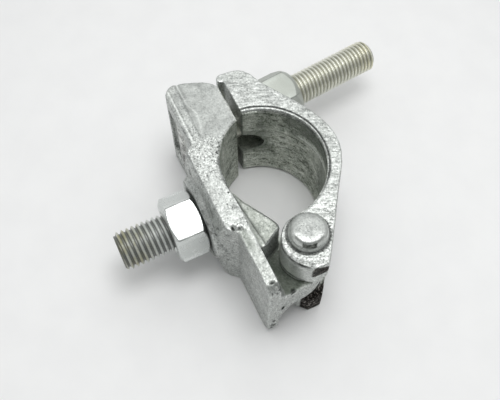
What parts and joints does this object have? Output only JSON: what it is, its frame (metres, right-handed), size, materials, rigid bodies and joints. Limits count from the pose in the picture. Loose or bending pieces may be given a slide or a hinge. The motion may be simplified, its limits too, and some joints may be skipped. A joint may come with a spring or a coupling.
{
  "type": "scaffold coupler clamp",
  "caption": "Drop-forged galvanised half coupler that clamps a scaffold tube with a hinged flap and a swinging T-bolt, and bolts to a bracket by a stud on its back.",
  "frame": {"origin": "centre of the tube seat: the axis of the base saddle's circle, half way along the coupler's width", "axes": "+Z along the clamped tube, +X towards the hinge rivet, -X towards the T-bolt, -Y out of the back along the stud, +Y towards the flap"},
  "size_m": [0.0997, 0.1369, 0.0496],
  "materials": {
    "forging": "hot-dip galvanised drop forging, matt and speckled",
    "rivet": "galvanised, formed head",
    "bolt": "zinc plated, satin, slightly yellow at the threads",
    "nut": "bright zinc plated",
    "washer": "zinc plated"
  },
  "bodies": {
    "base_body": {"base": "forging", "stud": "bolt"},
    "flap_body": {"flap": "forging", "hinge_rivet": "rivet"},
    "t_bolt_body": {"t_bolt": "bolt"},
    "clamp_nut_body": {"t_bolt_nut": "nut", "t_bolt_washer": "washer"},
    "stud_nut_body": {"stud_nut": "nut"}
  },
  "joints": [
    {"name": "flap_hinge", "type": "hinge", "parent": "base_body", "child": "flap_body", "pos_m": [0.0334, -0.0065, 0], "axis": [0, 0, 1], "range_deg": [-23.1, 0]},
    {"name": "t_bolt_swing", "type": "hinge", "parent": "base_body", "child": "t_bolt_body", "pos_m": [-0.0339, -0.0235, 0], "axis": [0, 0, 1], "range_deg": [0, 52]},
    {"name": "t_bolt_nut_travel", "type": "slide", "parent": "t_bolt_body", "child": "clamp_nut_body", "axis": [-0.1115, 0.9938, 0], "range_m": [0, 0.0331]},
    {"name": "stud_nut_travel", "type": "slide", "parent": "base_body", "child": "stud_nut_body", "axis": [0, -1, 0], "range_m": [0, 0.019]}
  ],
  "couplings": [
    {"joint": "t_bolt_nut_travel", "follows": "flap_hinge", "m_per_rad": -0.081851}
  ]
}
